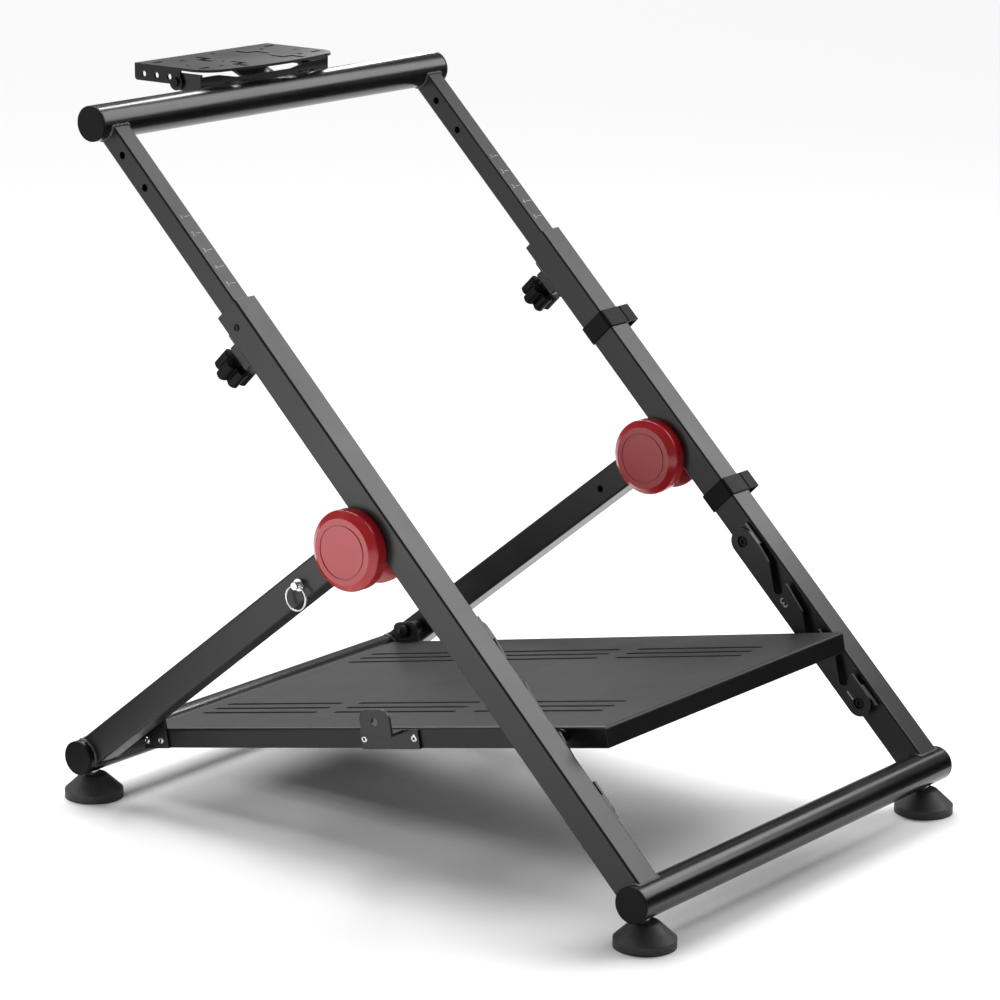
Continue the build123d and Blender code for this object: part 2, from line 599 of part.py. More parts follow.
def pull_ring(name: str) -> None:
    """Wire ring that hangs from the pin's eye, flat beside the leg."""
    eye_x = LEG_CENTRE_X + LEG_HALF + PULL_HEAD_THICKNESS + PULL_EYE_LENGTH / 2
    sag = RING_RADIUS - sqrt(RING_RADIUS ** 2 - (PULL_PIN_DIAMETER / 2) ** 2)
    centre = PULL_PIN - Vector(0, 0, RING_RADIUS + RING_EYE_RADIUS - RING_WIRE_RADIUS - sag - SEATED)
    with BuildPart() as ring:
        with BuildSketch(Plane(origin=(eye_x, centre.Y, centre.Z), x_dir=(0, 1, 0), z_dir=(0, 0, 1))):
            with Locations((RING_RADIUS, 0)):
                RegularPolygon(RING_WIRE_RADIUS, RING_WIRE_SIDES)
        revolve(axis=Axis((eye_x, centre.Y, centre.Z), (1, 0, 0)))
    finish(ring, name)


def pedal_plate(name: str) -> None:
    """Folded sheet, open at the rear, with flanges on three sides and rows of bolt slots."""
    with BuildPart() as plate:
        with BuildSketch(PEDAL_TOP):
            with Locations((0, -PEDAL_LENGTH / 2)):
                Rectangle(PEDAL_WIDTH, PEDAL_LENGTH)
        extrude(amount=-PEDAL_FLANGE)
        top_edges = plate.faces().sort_by(Axis(PEDAL_FRONT, PEDAL_NORMAL))[-1].edges()
        bends = top_edges.sort_by(Axis(PEDAL_FRONT, PEDAL_DIR))[1:]
        fillet(bends, PEDAL_BEND)
        by_height = plate.faces().sort_by(Axis(PEDAL_FRONT, PEDAL_NORMAL))
        by_length = plate.faces().sort_by(Axis(PEDAL_FRONT, PEDAL_DIR))
        offset(amount=-PEDAL_SHEET, openings=[by_height[0], by_length[0]])
        with BuildSketch(PEDAL_TOP):
            for group in range(SLOT_GROUPS):
                centre_t = -(SLOT_FRONT_MARGIN + SLOT_LENGTH / 2 + group * (SLOT_LENGTH + SLOT_GAP))
                for x in SLOT_ROWS_X:
                    with Locations((x, centre_t), (-x, centre_t)):
                        SlotOverall(SLOT_LENGTH, SLOT_WIDTH, rotation=90)
        extrude(amount=-PEDAL_SHEET, mode=Mode.SUBTRACT)
    finish(plate, name)


def pivot_lug(name: str, side: int) -> None:
    """Lug riveted to the plate's flange that rises above it and turns on a pivot bolt."""
    with BuildPart() as lug:
        with BuildSketch(pedal_side(side * PEDAL_SIDE)) as outline:
            with Locations((-PEDAL_LENGTH, -PEDAL_FLANGE)):
                Rectangle(LUG_LENGTH, PEDAL_FLANGE + LUG_RISE, align=(Align.MIN, Align.MIN))
            fillet(outline.vertices().group_by(Axis.Y)[-1], LUG_CORNER)
            with Locations((PIVOT_T, PIVOT_ABOVE_TOP)):
                Circle(PIVOT_BOLT_DIAMETER / 2 + RUNNING, mode=Mode.SUBTRACT)
        extrude(amount=side * LUG_SHEET)
    finish(lug, name)


def pivot_bolts(name: str) -> None:
    """Bolts with spacers that carry the lugs on the inner faces of the rear legs."""
    lug_inside = PEDAL_SIDE
    lug_outside = PEDAL_SIDE + LUG_SHEET
    with BuildPart() as bolts:
        for _, side in SIDES:
            with BuildSketch(along_x(side * lug_inside, PIVOT)):
                Circle(PIVOT_HEAD_RADIUS)
            extrude(amount=-side * PIVOT_HEAD_THICKNESS)
            with BuildSketch(along_x(side * lug_inside, PIVOT)):
                Circle(PIVOT_BOLT_DIAMETER / 2)
            extrude(amount=side * (LEG_INNER_X + PIVOT_BITE - lug_inside))
            with BuildSketch(along_x(side * lug_outside, PIVOT)):
                Circle(PIVOT_SPACER_RADIUS)
            extrude(amount=side * (LEG_INNER_X - lug_outside))
    finish(bolts, name)


def ear(name: str) -> None:
    """Stepped lug riveted to the plate's flange, bored to take the pull pin when folded."""
    lug_x = LEG_INNER_X - EAR_TO_LEG - LUG_SHEET
    ledge_n = -EAR_LEDGE_BELOW
    with BuildPart() as lug:
        with BuildSketch(pedal_side(PEDAL_SIDE)):
            with Locations((EAR_T - EAR_BASE_BEHIND, -EAR_BASE_BELOW)):
                Rectangle(EAR_BASE_LENGTH, EAR_BASE_BELOW - EAR_LEDGE_BELOW, align=(Align.MIN, Align.MIN))
        extrude(amount=LUG_SHEET)
        with BuildSketch(pedal_side(PEDAL_SIDE)):
            with Locations((EAR_T, ledge_n)):
                Rectangle(EAR_WIDTH, LUG_SHEET, align=(Align.CENTER, Align.MAX))
        extrude(amount=lug_x + LUG_SHEET - PEDAL_SIDE)
        with BuildSketch(pedal_side(lug_x)) as outline:
            with Locations((EAR_T, ledge_n - LUG_SHEET)):
                Rectangle(EAR_WIDTH, EAR_RISE + EAR_LEDGE_BELOW + LUG_SHEET, align=(Align.CENTER, Align.MIN))
            fillet(outline.vertices().group_by(Axis.Y)[-1], EAR_CORNER)
            with Locations((EAR_T, EAR_HOLE_HEIGHT)):
                Circle(EAR_HOLE_DIAMETER / 2, mode=Mode.SUBTRACT)
        extrude(amount=LUG_SHEET)
    finish(lug, name)


def notch_pins(name: str) -> None:
    """Pins on the plate's flanges that drop into the notched strips."""
    reach = LEG_INNER_X - PIN_END_TO_LEG - PEDAL_SIDE
    with BuildPart() as pins:
        for _, side in SIDES:
            with BuildSketch(along_x(side * PEDAL_SIDE, PIN_POINT)):
                Circle(PIN_RADIUS)
            extrude(amount=side * reach)
            with BuildSketch(along_x(side * PEDAL_SIDE, PIN_POINT)):
                Circle(PIN_COLLAR_RADIUS)
            extrude(amount=side * PIN_COLLAR_LENGTH)
    finish(pins, name)


def zigzag(x: float, y: float, hand: int) -> None:
    """Cut one stepped slot: two short runs along Y joined by a step across."""
    step = hand * ZIGZAG_STEP / 2
    with Locations((x - step, y - ZIGZAG_RUN / 2), (x + step, y + ZIGZAG_RUN / 2)):
        Rectangle(WHEEL_HOLE_DIAMETER, ZIGZAG_RUN + WHEEL_HOLE_DIAMETER)
    with Locations((x, y)):
        Rectangle(ZIGZAG_STEP + WHEEL_HOLE_DIAMETER, WHEEL_HOLE_DIAMETER)


def wheel_plate(name: str) -> None:
    """Wheel plate: bowed front edge, side flanges folded down, holes and stepped slots."""
    under = TOP_BAR.Z + WHEEL_TOP_ABOVE - WHEEL_SHEET
    level = Plane(origin=(0, TOP_BAR.Y, under), x_dir=(1, 0, 0), z_dir=(0, 0, 1))
    half = WHEEL_HALF_WIDTH
    shoulder = WHEEL_FRONT - WHEEL_FRONT_BOW - WHEEL_CORNER
    with BuildPart() as plate:
        with BuildSketch(level):
            with BuildLine():
                Polyline((-half, shoulder), (-half, -WHEEL_REAR), (half, -WHEEL_REAR), (half, shoulder))
                RadiusArc((half, shoulder), (half - WHEEL_CORNER, shoulder + WHEEL_CORNER), -WHEEL_CORNER)
                RadiusArc((-half, shoulder), (-half + WHEEL_CORNER, shoulder + WHEEL_CORNER), WHEEL_CORNER)
                ThreePointArc((half - WHEEL_CORNER, shoulder + WHEEL_CORNER), (0, WHEEL_FRONT),
                              (-half + WHEEL_CORNER, shoulder + WHEEL_CORNER))
            make_face()
        extrude(amount=WHEEL_SHEET)
        for _, side in SIDES:
            with BuildSketch(upright_side(side * half, TOP_BAR.Y, under)) as flange:
                with Locations((-WHEEL_REAR, WHEEL_SHEET)):
                    Rectangle(WHEEL_REAR - WHEEL_FLANGE_END, WHEEL_FLANGE_DROP, align=(Align.MIN, Align.MAX))
                fillet(flange.vertices().group_by(Axis.Y)[0], WHEEL_FLANGE_CORNER)
                with Locations((-TILT_BEHIND, WHEEL_SHEET + TILT_ABOVE - WHEEL_TOP_ABOVE)):
                    Circle(TILT_EYE_RADIUS)
            extrude(amount=-side * WHEEL_SHEET)
            with BuildSketch(upright_side(side * half, TOP_BAR.Y, under)):
                hole_z = WHEEL_SHEET - WHEEL_FLANGE_HOLE_BELOW
                with Locations(*[(-behind, hole_z) for behind in WHEEL_FLANGE_HOLES_BEHIND]):
                    Circle(WHEEL_HOLE_DIAMETER / 2)
                with Locations((-TILT_BEHIND, WHEEL_SHEET + TILT_ABOVE - WHEEL_TOP_ABOVE)):
                    Circle(TILT_BOLT_DIAMETER / 2 + RUNNING)
            extrude(amount=-side * WHEEL_SHEET, mode=Mode.SUBTRACT)
        with BuildSketch(level):
            with Locations((0, -WHEEL_CENTRE_HOLE_BEHIND)):
                Circle(WHEEL_HOLE_DIAMETER / 2)
            for _, side in SIDES:
                with Locations(*[(side * WHEEL_BOLT_X, -behind) for behind in WHEEL_BOLTS_BEHIND]):
                    Circle(WHEEL_HOLE_DIAMETER / 2)
                with Locations(*[(side * WHEEL_SLOT_X, -behind) for behind in WHEEL_SLOTS_BEHIND]):
                    SlotOverall(WHEEL_SLOT_LENGTH, WHEEL_HOLE_DIAMETER)
                with Locations(*[(side * x, -behind) for x, behind in WHEEL_SMALL_HOLES]):
                    Circle(WHEEL_SMALL_DIAMETER / 2)
                for behind in ZIGZAGS_BEHIND:
                    zigzag(side * ZIGZAG_X, -behind, side)
        extrude(amount=WHEEL_SHEET, mode=Mode.SUBTRACT)
    finish(plate, name)


def wheel_bracket(name: str) -> None:
    """Bent bracket on the top bar: a low wall, a sloping tongue and two ears for the tilt bolts."""
    ear_x = WHEEL_HALF_WIDTH - WHEEL_SHEET - BRACKET_SIDE_GAP
    wall_y = -BRACKET_WALL_BEHIND
    lean = tan(radians(TONGUE_SLOPE))
    tongue_end = wall_y - TONGUE_LENGTH
    tongue_depth = BRACKET_SHEET / cos(radians(TONGUE_SLOPE))
    with BuildPart() as bracket:
        wall_front = Plane(origin=(0, TOP_BAR.Y + wall_y, TOP_BAR.Z), x_dir=(1, 0, 0), z_dir=(0, -1, 0))
        with BuildSketch(wall_front):
            Polygon((-ear_x, BRACKET_EAR_BOTTOM), (ear_x, BRACKET_EAR_BOTTOM), (ear_x, BRACKET_HIGH_ABOVE),
                    (BRACKET_HIGH_HALF, BRACKET_HIGH_ABOVE), (BRACKET_LOW_HALF, BRACKET_LOW_ABOVE),
                    (-BRACKET_LOW_HALF, BRACKET_LOW_ABOVE), (-BRACKET_HIGH_HALF, BRACKET_HIGH_ABOVE),
                    (-ear_x, BRACKET_HIGH_ABOVE), align=None)
        extrude(amount=BRACKET_SHEET)
        with BuildSketch(upright_side(-TONGUE_WIDTH / 2, TOP_BAR.Y, TOP_BAR.Z)):
            Polygon((wall_y, TONGUE_ROOT_ABOVE), (wall_y, TONGUE_ROOT_ABOVE + tongue_depth),
                    (tongue_end, TONGUE_ROOT_ABOVE + tongue_depth + TONGUE_LENGTH * lean),
                    (tongue_end, TONGUE_ROOT_ABOVE + TONGUE_LENGTH * lean), align=None)
        extrude(amount=TONGUE_WIDTH)
        for _, side in SIDES:
            with BuildSketch(upright_side(side * ear_x, TOP_BAR.Y, TOP_BAR.Z)):
                with Locations((wall_y, BRACKET_EAR_BOTTOM)):
                    Rectangle(TILT_BEHIND + wall_y, BRACKET_TOP_ABOVE - BRACKET_EAR_BOTTOM,
                              align=(Align.MAX, Align.MIN))
                with Locations((-TILT_BEHIND, TILT_ABOVE)):
                    Circle(TILT_EYE_RADIUS)
            extrude(amount=-side * BRACKET_SHEET)
            with BuildSketch(upright_side(side * ear_x, TOP_BAR.Y, TOP_BAR.Z)):
                with Locations((-TILT_BEHIND, TILT_ABOVE)):
                    Circle(TILT_BOLT_DIAMETER / 2 + RUNNING)
                    SlotArc(CenterArc((0, 0), TILT_SLOT_RADIUS, -TILT_SLOT_SWEEP / 2, TILT_SLOT_SWEEP,
                                      mode=Mode.PRIVATE), TILT_SLOT_WIDTH)
            extrude(amount=-side * BRACKET_SHEET, mode=Mode.SUBTRACT)
        add(cut_rod(TOP_BAR, BAR_RADIUS, BAR_LENGTH), mode=Mode.SUBTRACT)
    finish(bracket, name)


def tilt_bolts(name: str) -> None:
    """Bolts through the bracket's ears and the wheel plate's flanges."""
    centre = TOP_BAR + Vector(0, -TILT_BEHIND, TILT_ABOVE)
    tail_x = WHEEL_HALF_WIDTH - WHEEL_SHEET - BRACKET_SIDE_GAP - BRACKET_SHEET - TILT_BOLT_TAIL
    with BuildPart() as bolts:
        for _, side in SIDES:
            with BuildSketch(along_x(side * tail_x, centre)):
                Circle(TILT_BOLT_DIAMETER / 2)
            extrude(amount=side * (WHEEL_HALF_WIDTH - tail_x))
            with BuildSketch(along_x(side * WHEEL_HALF_WIDTH, centre)):
                Circle(TILT_HEAD_RADIUS)
            extrude(amount=side * TILT_HEAD_THICKNESS)
    finish(bolts, name)


round_bar("front_bar", FRONT_BAR, True)
round_bar("rear_bar", REAR_BAR, True)
round_bar("top_bar", TOP_BAR, False)
bar_caps("front_bar_caps", FRONT_BAR)
bar_caps("rear_bar_caps", REAR_BAR)
bar_caps("top_bar_caps", TOP_BAR)
foot_studs("front_foot_studs", FRONT_BAR_Y)
foot_studs("rear_foot_studs", REAR_BAR_Y)
guide_bushes("guide_bushes")
hub_pins("hinge_pins")
knob_seats("knob_seats")
notch_pins("notch_pins")
pedal_plate("pedal_plate")
pivot_bolts("pivot_bolts")
ear("folding_ear")
pull_pin("pull_pin")
pull_ring("pull_ring")
wheel_plate("wheel_plate")
wheel_bracket("wheel_bracket")
tilt_bolts("tilt_bolts")
cable_clip("lower_cable_clip", CLIPS_ALONG[0])
cable_clip("upper_cable_clip", CLIPS_ALONG[1])
for side_name, sign in SIDES:
    leg_x = sign * LEG_CENTRE_X
    main_leg(f"{side_name}_main_leg", leg_x)
    inner_tube(f"{side_name}_inner_tube", leg_x)
    rear_leg(f"{side_name}_rear_leg", sign)
    covers = ("outer", "inner")[::sign]
    hub_cover(f"{side_name}_hinge_{covers[0]}_cover", leg_x + LEG_HALF, 1, HUB_COVER_THICKNESS)
    hub_cover(f"{side_name}_hinge_{covers[1]}_cover", leg_x - LEG_HALF, -1, HUB_BACK_THICKNESS)
    foot(f"{side_name}_front_foot", leg_x, FRONT_BAR_Y)
    foot(f"{side_name}_rear_foot", leg_x, REAR_BAR_Y)
    star_knob(f"{side_name}_star_knob", leg_x)
    notch_strip(f"{side_name}_notch_strip", sign)
    pivot_lug(f"{side_name}_pivot_lug", sign)

print("front bar", FRONT_BAR, "rear bar", REAR_BAR, "top bar", TOP_BAR, "hub", HUB)
print("pivot", PIVOT, "pull pin", PULL_PIN, "notch pin", PIN_POINT)
print("pedal plate angle", round(PEDAL_ANGLE, 4), "front", PEDAL_FRONT, "length", round(PEDAL_LENGTH, 3))
print("slot length", round(SLOT_LENGTH, 3), "ear along", round(EAR_T, 3))
print("plate lift that brings the ear to the pull pin", round(FOLD_LIFT, 4))
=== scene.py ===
import json
import logging
import math
from dataclasses import dataclass, field
from enum import Enum

import bmesh
import bpy
from mathutils import Matrix, Vector


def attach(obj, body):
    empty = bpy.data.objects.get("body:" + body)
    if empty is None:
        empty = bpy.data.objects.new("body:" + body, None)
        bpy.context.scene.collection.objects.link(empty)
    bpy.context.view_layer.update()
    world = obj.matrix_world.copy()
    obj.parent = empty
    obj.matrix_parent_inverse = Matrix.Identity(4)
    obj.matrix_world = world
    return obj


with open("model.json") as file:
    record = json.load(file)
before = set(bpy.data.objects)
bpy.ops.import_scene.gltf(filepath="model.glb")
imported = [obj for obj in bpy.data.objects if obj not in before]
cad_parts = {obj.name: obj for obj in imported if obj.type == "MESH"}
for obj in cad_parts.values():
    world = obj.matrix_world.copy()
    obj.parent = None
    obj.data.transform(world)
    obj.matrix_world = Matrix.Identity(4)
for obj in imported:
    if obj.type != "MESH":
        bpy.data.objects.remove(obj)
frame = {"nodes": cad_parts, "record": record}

logging.basicConfig(level=logging.INFO, format="%(message)s")
LOG = logging.getLogger("stand")

Triple = tuple[float, float, float]
Points = tuple[tuple[float, float], ...]

ON_AXIS = 1e-7  # a radius below this is a point on the axis
BEAD_SIDES = 8
BEAD_FAST, BEAD_SLOW = 2.2, 0.7  # a bead's two ripples, in radians per point
DIGIT_SHARE = 0.7  # a digit's height as a share of the font size
UP = Vector((0, 0, 1))


class Slot(Enum):
    """The record's material slots."""

    COAT = "black_powder_coat"
    RED = "red_moulding"
    MOULDING = "black_moulding"
    RUBBER = "foot_rubber"
    STEEL = "bright_steel"
    DARK = "dark_steel"


class Side(Enum):
    """The stand's two sides, by the sign of X."""

    RIGHT = 1
    LEFT = -1


@dataclass(frozen=True)
class Layout:
    """Where the frame's main lines lie, in metres and degrees."""

    leg_x: float = 0.264
    leg_half: float = 0.0165
    inner_half: float = 0.012
    bar_radius: float = 0.019
    bar_height: float = 0.049
    front_y: float = 0.38652
    rear_y: float = -0.35148
    leg_angle: float = 44.8
    rear_angle: float = 38.77
    pedal_angle: float = 11.3955
    pedal_front_y: float = 0.303139
    pedal_front_z: float = 0.198246
    top_along: float = 0.9915
    strip_x: float = 0.238

    @property
    def leg_dir(self) -> Vector:
        """Direction up a main leg."""
        a = math.radians(self.leg_angle)
        return Vector((0, -math.cos(a), math.sin(a)))

    @property
    def leg_normal(self) -> Vector:
        """Direction off a main leg's front face."""
        a = math.radians(self.leg_angle)
        return Vector((0, math.sin(a), math.cos(a)))

    @property
    def rear_dir(self) -> Vector:
        """Direction up a rear leg."""
        a = math.radians(self.rear_angle)
        return Vector((0, math.cos(a), math.sin(a)))

    @property
    def rear_normal(self) -> Vector:
        """Direction off a rear leg's upper face."""
        a = math.radians(self.rear_angle)
        return Vector((0, -math.sin(a), math.cos(a)))

    def leg(self, x: float, s: float, n: float = 0.0) -> Vector:
        """Point on a main leg.

        Args:
            x: position across the stand.
            s: distance up the leg from the front bar's axis.
            n: distance off the leg's axis, forward and up.

        Returns:
            The point in the row frame.
        """
        return Vector((x, self.front_y, self.bar_height)) + self.leg_dir * s + self.leg_normal * n

    def pedal(self, x: float, t: float, n: float) -> Vector:
        """Point on the pedal plate.

        Args:
            x: position across the stand.
            t: distance forward from the plate's front edge, negative on the plate.
            n: height off the plate's top.

        Returns:
            The point in the row frame.
        """
        a = math.radians(self.pedal_angle)
        y = self.pedal_front_y + t * math.cos(a) - n * math.sin(a)
        return Vector((x, y, self.pedal_front_z + t * math.sin(a) + n * math.cos(a)))


def axes(origin: Vector, x: Vector, y: Vector, z: Vector) -> Matrix:
    """Matrix that carries local axes to the given ones.

    Args:
        origin: where local zero goes.
        x: local X in the row frame.
        y: local Y in the row frame.
        z: local Z in the row frame.

    Returns:
        The 4 by 4 matrix.
    """
    m = Matrix((x, y, z)).transposed().to_4x4()
    m.translation = origin
    return m


class Effects:
    """Shader node groups that several finishes share, each built once."""

    EDGE_SAMPLES = 4
    EDGE_NOISE_SCALE = 90.0
    EDGE_NOISE_DETAIL = 3.0
    GRAIN_ROUGHNESS = 0.55
    SMUDGE_DETAIL = 4.0
    SMUDGE_FROM = (0.3, 0.7)

    def __init__(self) -> None:
        """Build the groups."""
        self.soft_edge = self._soft_edge()
        self.grain = self._grain()
        self.smudge = self._smudge()

    @staticmethod
    def _new(name: str, inputs: list[tuple[str, float]],
             outputs: list[tuple[str, str]]) -> bpy.types.NodeTree:
        """Make an empty group with its sockets.

        Args:
            name: the group's name.
            inputs: names and default values of its float inputs.
            outputs: names and socket types of its outputs.

        Returns:
            The node tree.
        """
        tree = bpy.data.node_groups.new(name, "ShaderNodeTree")
        for label, value in inputs:
            socket = tree.interface.new_socket(name=label, in_out="INPUT",
                                               socket_type="NodeSocketFloat")
            socket.default_value = value
        for label, kind in outputs:
            tree.interface.new_socket(name=label, in_out="OUTPUT", socket_type=kind)
        tree.nodes.new("NodeGroupInput")
        tree.nodes.new("NodeGroupOutput")
        return tree

    @staticmethod
    def _ends(tree: bpy.types.NodeTree) -> tuple[bpy.types.Node, bpy.types.Node]:
        """The group's input and output nodes."""
        return tree.nodes["Group Input"], tree.nodes["Group Output"]

    def _soft_edge(self) -> bpy.types.NodeTree:
        """Rounded edge normal, and a mask of where edges are, broken up by noise, where a lighter colour is
        painted on as a highlight.

        Returns:
            The group's tree.
        """
        tree = self._new("soft_edge", [("Radius", 0.0008), ("Sharpness", 6.0)],
                         [("Normal", "NodeSocketVector"), ("EdgeHighlight", "NodeSocketFloat")])
        start, end = self._ends(tree)
        bevel = tree.nodes.new("ShaderNodeBevel")
        bevel.samples = self.EDGE_SAMPLES
        shape = tree.nodes.new("ShaderNodeNewGeometry")
        dot = tree.nodes.new("ShaderNodeVectorMath")
        dot.operation = "DOT_PRODUCT"
        turned = tree.nodes.new("ShaderNodeMath")
        turned.operation = "SUBTRACT"
        turned.inputs[0].default_value = 1.0
        gain = tree.nodes.new("ShaderNodeMath")
        gain.operation = "MULTIPLY"
        where = tree.nodes.new("ShaderNodeTexCoord")
        noise = tree.nodes.new("ShaderNodeTexNoise")
        noise.inputs["Scale"].default_value = self.EDGE_NOISE_SCALE
        noise.inputs["Detail"].default_value = self.EDGE_NOISE_DETAIL
        patchy = tree.nodes.new("ShaderNodeMath")
        patchy.operation = "MULTIPLY"
        patchy.use_clamp = True
        link = tree.links.new
        link(start.outputs["Radius"], bevel.inputs["Radius"])
        link(bevel.outputs["Normal"], dot.inputs[0])
        link(shape.outputs["True Normal"], dot.inputs[1])
        link(dot.outputs["Value"], turned.inputs[1])
        link(turned.outputs[0], gain.inputs[0])
        link(start.outputs["Sharpness"], gain.inputs[1])
        link(where.outputs["Object"], noise.inputs["Vector"])
        link(gain.outputs[0], patchy.inputs[0])
        link(noise.outputs["Fac"], patchy.inputs[1])
        link(bevel.outputs["Normal"], end.inputs["Normal"])
        link(patchy.outputs[0], end.inputs["EdgeHighlight"])
        return tree

    def _grain(self) -> bpy.types.NodeTree:
        """Height of a fine orange-peel grain.

        Returns:
            The group's tree.
        """
        tree = self._new("grain", [("Scale", 900.0), ("Detail", 2.0)],
                         [("Height", "NodeSocketFloat")])
        start, end = self._ends(tree)
        where = tree.nodes.new("ShaderNodeTexCoord")
        noise = tree.nodes.new("ShaderNodeTexNoise")
        noise.inputs["Roughness"].default_value = self.GRAIN_ROUGHNESS
        link = tree.links.new
        link(where.outputs["Object"], noise.inputs["Vector"])
        link(start.outputs["Scale"], noise.inputs["Scale"])
        link(start.outputs["Detail"], noise.inputs["Detail"])
        link(noise.outputs["Fac"], end.inputs["Height"])
        return tree

    def _smudge(self) -> bpy.types.NodeTree:
        """Slow variation between two values, for roughness and tone.

        Returns:
            The group's tree.
        """
        tree = self._new("smudge", [("Scale", 14.0), ("Low", 0.0), ("High", 1.0)],
                         [("Value", "NodeSocketFloat")])
        start, end = self._ends(tree)
        where = tree.nodes.new("ShaderNodeTexCoord")
        noise = tree.nodes.new("ShaderNodeTexNoise")
        noise.inputs["Detail"].default_value = self.SMUDGE_DETAIL
        spread = tree.nodes.new("ShaderNodeMapRange")
        spread.inputs["From Min"].default_value = self.SMUDGE_FROM[0]
        spread.inputs["From Max"].default_value = self.SMUDGE_FROM[1]
        link = tree.links.new
        link(where.outputs["Object"], noise.inputs["Vector"])
        link(start.outputs["Scale"], noise.inputs["Scale"])
        link(noise.outputs["Fac"], spread.inputs["Value"])
        link(start.outputs["Low"], spread.inputs["To Min"])
        link(start.outputs["High"], spread.inputs["To Max"])
        link(spread.outputs["Result"], end.inputs["Value"])
        return tree


@dataclass(frozen=True)
class Finish:
    """A surface finish: its colours, gloss and grain.

    Attributes:
        name: the material's name.
        colour: base colour.
        edge_colour: lighter colour painted on edges as a highlight and, for mottled finishes, in patches of
            uneven tone.
        roughness: lowest and highest roughness.
        metallic: how metallic it is.
        coat: clear coat weight.
        specular: specular level.
        grain_scale: grain frequency, per metre.
        grain_height: grain bump height in metres.
        edge: edge radius in metres.
        mottle: how far the patches take that lighter colour.
        smudge_scale: frequency of the slow variation.
        patch_rate: how many times finer the patches are than the slow variation.
        coat_roughness: the clear coat's roughness.
    """

    name: str
    colour: Triple
    edge_colour: Triple
    roughness: tuple[float, float] = (0.4, 0.5)
    metallic: float = 0.0
    coat: float = 0.0
    specular: float = 0.5
    grain_scale: float = 900.0
    grain_height: float = 0.00002
    edge: float = 0.0006
    mottle: float = 0.0
    smudge_scale: float = 14.0
    patch_rate: float = 9.0
    coat_roughness: float = 0.12

    def build(self, effects: Effects) -> bpy.types.Material:
        """Make the material.

        Args:
            effects: the shared node groups.

        Returns:
            The material.
        """
        material = bpy.data.materials.new(self.name)
        material.use_nodes = True
        tree = material.node_tree
        link = tree.links.new
        shader = tree.nodes["Principled BSDF"]
        shader.inputs["Metallic"].default_value = self.metallic
        shader.inputs["Coat Weight"].default_value = self.coat
        shader.inputs["Coat Roughness"].default_value = self.coat_roughness
        shader.inputs["Specular IOR Level"].default_value = self.specular
        edge = self._group(tree, effects.soft_edge, Radius=self.edge)
        grain = self._group(tree, effects.grain, Scale=self.grain_scale)
        rough = self._group(tree, effects.smudge, Scale=self.smudge_scale,
                            Low=self.roughness[0], High=self.roughness[1])
        patches = self._group(tree, effects.smudge, Scale=self.smudge_scale * self.patch_rate,
                              Low=0.0, High=self.mottle)
        # Painted highlight: edges take the lighter colour, and so do the random patches of mottled
        # finishes.
        where = tree.nodes.new("ShaderNodeMath")
        where.operation = "MAXIMUM"
        link(edge.outputs["EdgeHighlight"], where.inputs[0])
        link(patches.outputs["Value"], where.inputs[1])
        tone = tree.nodes.new("ShaderNodeMix")
        tone.data_type = "RGBA"
        tone.inputs["A"].default_value = (*self.colour, 1.0)
        tone.inputs["B"].default_value = (*self.edge_colour, 1.0)
        link(where.outputs[0], tone.inputs["Factor"])
        bump = tree.nodes.new("ShaderNodeBump")
        bump.inputs["Strength"].default_value = 1.0
        bump.inputs["Distance"].default_value = self.grain_height
        link(grain.outputs["Height"], bump.inputs["Height"])
        link(edge.outputs["Normal"], bump.inputs["Normal"])
        link(tone.outputs["Result"], shader.inputs["Base Color"])
        link(rough.outputs["Value"], shader.inputs["Roughness"])
        link(bump.outputs["Normal"], shader.inputs["Normal"])
        return material

    @staticmethod
    def _group(tree: bpy.types.NodeTree, group: bpy.types.NodeTree,
               **values: float) -> bpy.types.Node:
        """Add one of the shared groups to a material.

        Args:
            tree: the material's tree.
            group: the shared group.
            values: its inputs by name.

        Returns:
            The group's node.
        """
        node = tree.nodes.new("ShaderNodeGroup")
        node.node_tree = group
        for label, value in values.items():
            node.inputs[label].default_value = value
        return node


class Look(Enum):
    """The finishes on this stand."""

    # The second colour of each finish is painted on edges as a highlight, and also in patches where mottle
    # is set.
    COAT = Finish("powder_coat", (0.006, 0.006, 0.0064), (0.03, 0.03, 0.031), (0.29, 0.36),
                  grain_height=0.000014)
    BAR = Finish("bar_coat", (0.005, 0.005, 0.0053), (0.025, 0.025, 0.026), (0.21, 0.27),
                 grain_height=0.00001)
    PLATE = Finish("plate_coat", (0.006, 0.006, 0.0064), (0.07, 0.07, 0.072), (0.34, 0.42),
                   specular=0.33, grain_height=0.000014, edge=0.001)
    RED = Finish("red_gloss", (0.42, 0.010, 0.015), (0.44, 0.03, 0.04), (0.18, 0.24),
                 coat=0.2, specular=0.6, grain_height=0.000004)
    MOULDING = Finish("moulded_black", (0.003, 0.003, 0.003), (0.012, 0.012, 0.012), (0.42, 0.52),
                      specular=0.15, grain_scale=1400.0)
    RUBBER = Finish("foot_rubber", (0.012, 0.012, 0.0125), (0.04, 0.04, 0.04), (0.5, 0.62),
                    grain_scale=700.0, grain_height=0.00004, mottle=0.6, smudge_scale=60.0)
    STEEL = Finish("bright_steel", (0.72, 0.72, 0.73), (0.85, 0.85, 0.85), (0.16, 0.28),
                   metallic=1.0, grain_height=0.000004, edge=0.0003)
    WELD = Finish("painted_weld", (0.02, 0.02, 0.021), (0.08, 0.08, 0.08), (0.3, 0.42),
                  grain_scale=500.0, grain_height=0.0001, mottle=0.5, smudge_scale=60.0)
    BOLT = Finish("black_bolt", (0.003, 0.003, 0.003), (0.015, 0.015, 0.015), (0.36, 0.46),
                  specular=0.25, edge=0.0003)
    INK = Finish("printed_ink", (0.5, 0.5, 0.5), (0.5, 0.5, 0.5), (0.5, 0.6),
                 grain_height=0.0, edge=0.0001)


